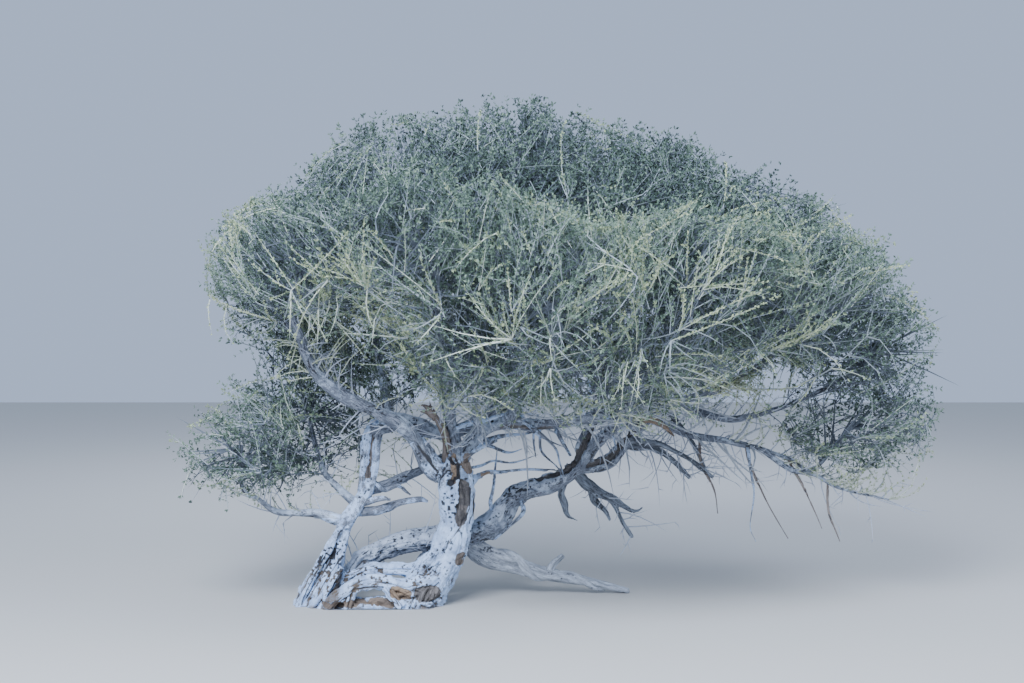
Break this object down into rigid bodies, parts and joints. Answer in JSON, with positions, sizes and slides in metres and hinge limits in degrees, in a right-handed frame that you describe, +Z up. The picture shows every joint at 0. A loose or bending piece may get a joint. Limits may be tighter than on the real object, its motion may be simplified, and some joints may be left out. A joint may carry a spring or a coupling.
{
  "type": "shepherds tree",
  "caption": "Low, wide dryland tree with white twisted stems on one spreading foot, crooked grey boughs, dead limbs and a dense dome of stiff leafy twigs.",
  "frame": {"origin": "on the flat cut under the trunk, at ground level", "axes": "+X to the viewer's right, along the wider side of the crown; +Y away from the viewer; +Z up"},
  "size_m": [5.1901, 4.2145, 3.3535],
  "materials": {
    "chalky_bark": "chalky, dry, pitted white bark",
    "grey_bark": "dry, fissured grey bark",
    "dead_wood": "weathered bare wood",
    "foliage": "small matt grey-green leaves on pale twigs"
  },
  "bodies": {
    "root": {"trunk": "chalky_bark", "left_stem": "chalky_bark", "back_stem": "chalky_bark", "back_arm": "chalky_bark", "low_left_bough": "chalky_bark", "left_bough": "grey_bark", "left_side_bough": "grey_bark", "cross_bough": "grey_bark", "rear_bough": "grey_bark", "middle_bough": "grey_bark", "crossing_bough": "grey_bark", "front_bough": "grey_bark", "low_front_left_bough": "grey_bark", "near_bough": "grey_bark", "back_left_bough": "grey_bark", "low_back_left_bough": "grey_bark", "dark_bough": "grey_bark", "top_bough": "grey_bark", "near_right_bough": "grey_bark", "right_bough": "grey_bark", "far_right_bough": "grey_bark", "low_right_bough": "grey_bark", "trailing_limb": "grey_bark", "low_middle_bough": "grey_bark", "back_right_bough": "grey_bark", "back_middle_bough": "grey_bark", "low_back_right_bough": "grey_bark", "dead_snag": "dead_wood", "fallen_limb": "dead_wood", "hanging_limb": "dead_wood", "drooping_limb": "dead_wood", "crooked_limb": "dead_wood", "twin_crooked_limb": "dead_wood", "crown_top_left": "foliage", "crown_top": "foliage", "crown_top_right": "foliage", "crown_high_right": "foliage", "crown_near_left": "foliage", "crown_near": "foliage", "crown_near_middle": "foliage", "crown_near_right": "foliage", "crown_right": "foliage", "crown_far_right": "foliage", "crown_left": "foliage", "skirt_left": "foliage", "skirt_back_left": "foliage", "skirt_right": "foliage", "skirt_near_middle": "foliage", "skirt_near_left": "foliage", "crown_back_left": "foliage", "crown_back": "foliage", "crown_back_right": "foliage", "skirt_back_right": "foliage", "skirt_back": "foliage"}
  },
  "joints": []
}
